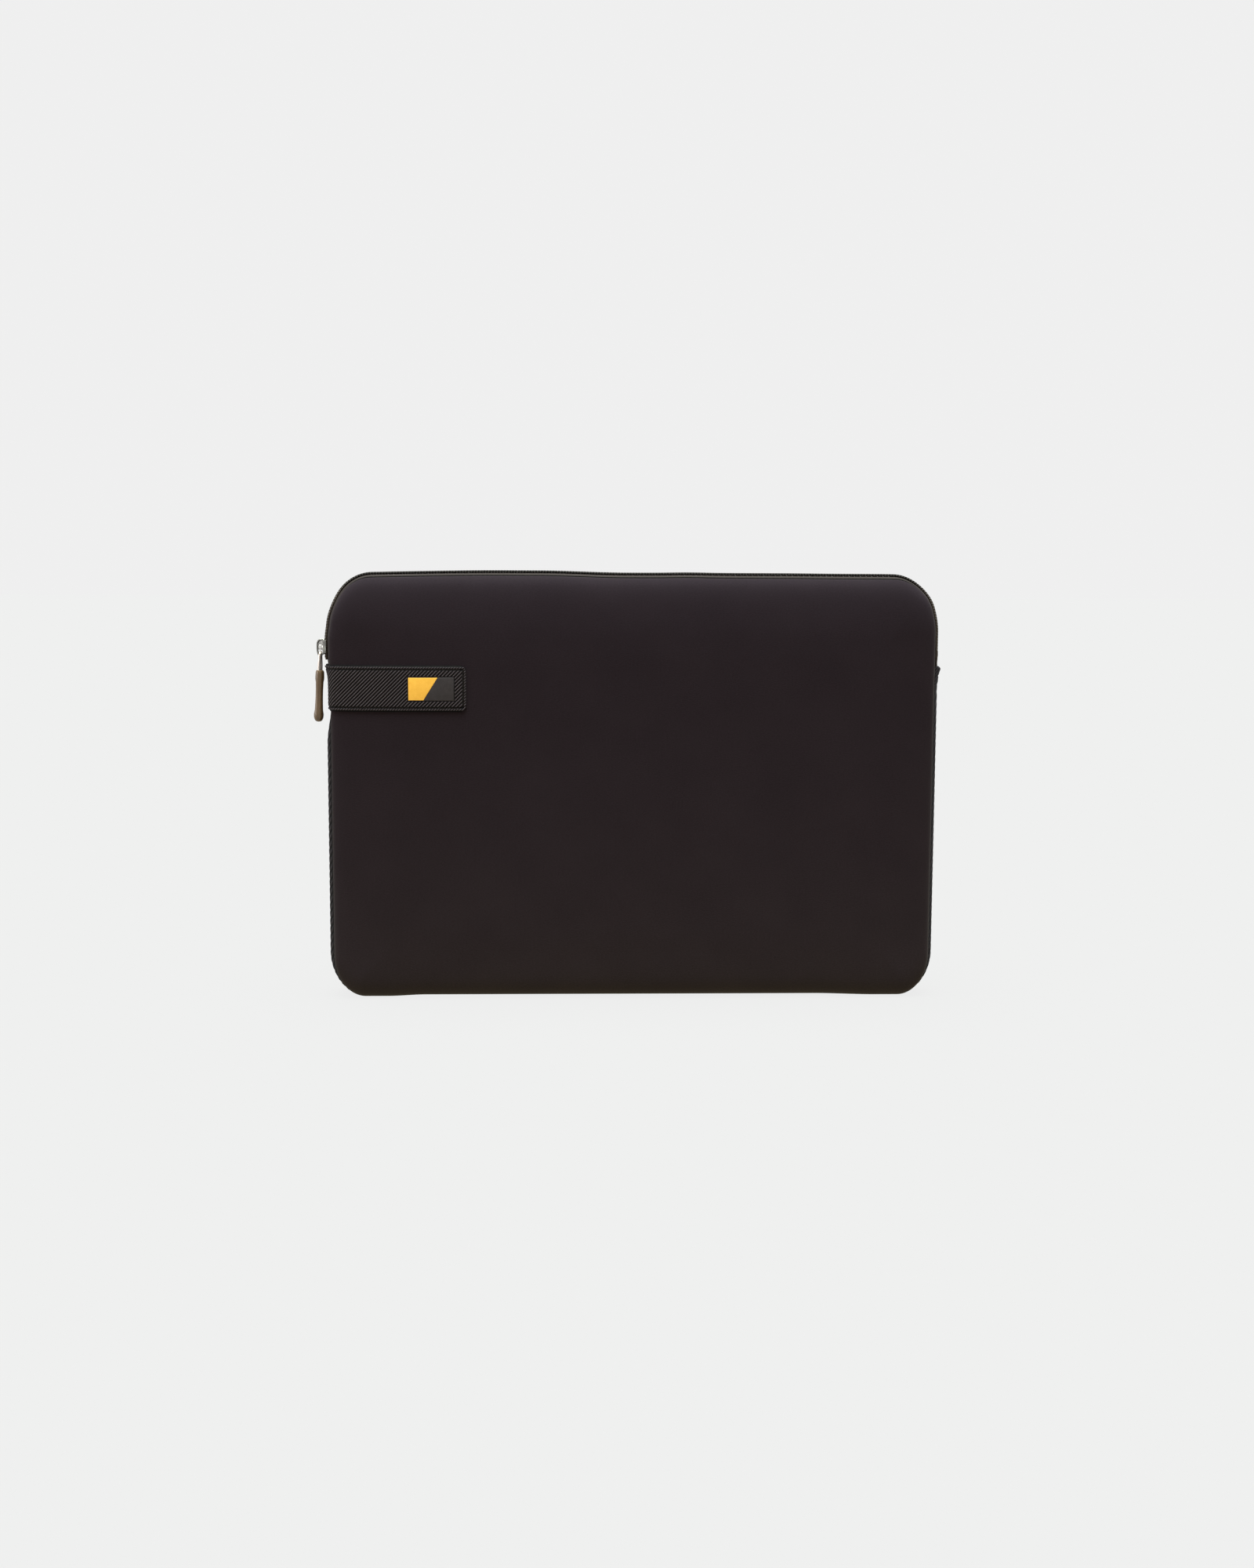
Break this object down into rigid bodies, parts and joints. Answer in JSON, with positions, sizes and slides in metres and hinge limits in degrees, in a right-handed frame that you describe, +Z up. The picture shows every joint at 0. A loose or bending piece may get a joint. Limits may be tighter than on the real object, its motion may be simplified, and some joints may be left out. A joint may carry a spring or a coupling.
{
  "type": "laptop sleeve",
  "caption": "Padded fabric laptop sleeve with rounded corners, a zipper running over the top, a ribbed side gusset, a ribbed corner patch with a plain label and a moulded zipper pull",
  "frame": {"origin": "middle of the flat strip of gusset that the sleeve stands on", "axes": "+X to the right as seen from the front, the front faces -Y, +Z up; X is the long side, Y the thickness"},
  "size_m": [0.4154, 0.0431, 0.282],
  "materials": {
    "black_knit": "matte",
    "foam": "matte",
    "lining": "matte",
    "ribbed_webbing": "matte",
    "zipper_tape": "matte",
    "zipper_coil": "satin",
    "binding": "matte",
    "nickel": "satin",
    "taupe_moulding": "satin",
    "label_dark": "matte",
    "label_amber": "matte",
    "thread": "satin"
  },
  "bodies": {
    "sleeve": {"back_outer_fabric": "black_knit", "back_foam_pad": "foam", "back_lining": "lining", "front_outer_fabric": "black_knit", "front_foam_pad": "foam", "front_lining": "lining", "side_gusset": "ribbed_webbing", "zipper_tape_back": "zipper_tape", "zipper_coil_back": "zipper_coil", "back_binding": "binding", "front_binding": "binding", "side_patch": "ribbed_webbing", "patch_stitching": "thread", "label_base": "label_dark", "label_accent": "label_amber", "zipper_end_tab": "ribbed_webbing"},
    "front_flap": {"flap_outer_fabric": "black_knit", "flap_foam_pad": "foam", "flap_lining": "lining", "flap_binding": "binding", "zipper_tape_front": "zipper_tape", "zipper_coil_front": "zipper_coil"},
    "slider": {"slider_body": "nickel", "slider_bridge": "nickel"},
    "pull": {"pull_link": "nickel", "pull_tab": "taupe_moulding"}
  },
  "joints": [
    {"name": "flap_open", "type": "hinge", "parent": "sleeve", "child": "front_flap", "pos_m": [0, -0.0204, 0.2214], "axis": [1, 0, 0], "range_deg": [0, 40], "stiffness_Nm_per_rad": 0.05},
    {"name": "zipper_slide", "type": "slide", "parent": "sleeve", "child": "slider", "axis": [0, 0, 1], "range_m": [0, 0.012]},
    {"name": "pull_swing", "type": "hinge", "parent": "slider", "child": "pull", "pos_m": [-0.2065, 0, 0.2295], "axis": [0, 1, 0], "range_deg": [0, 165]}
  ]
}
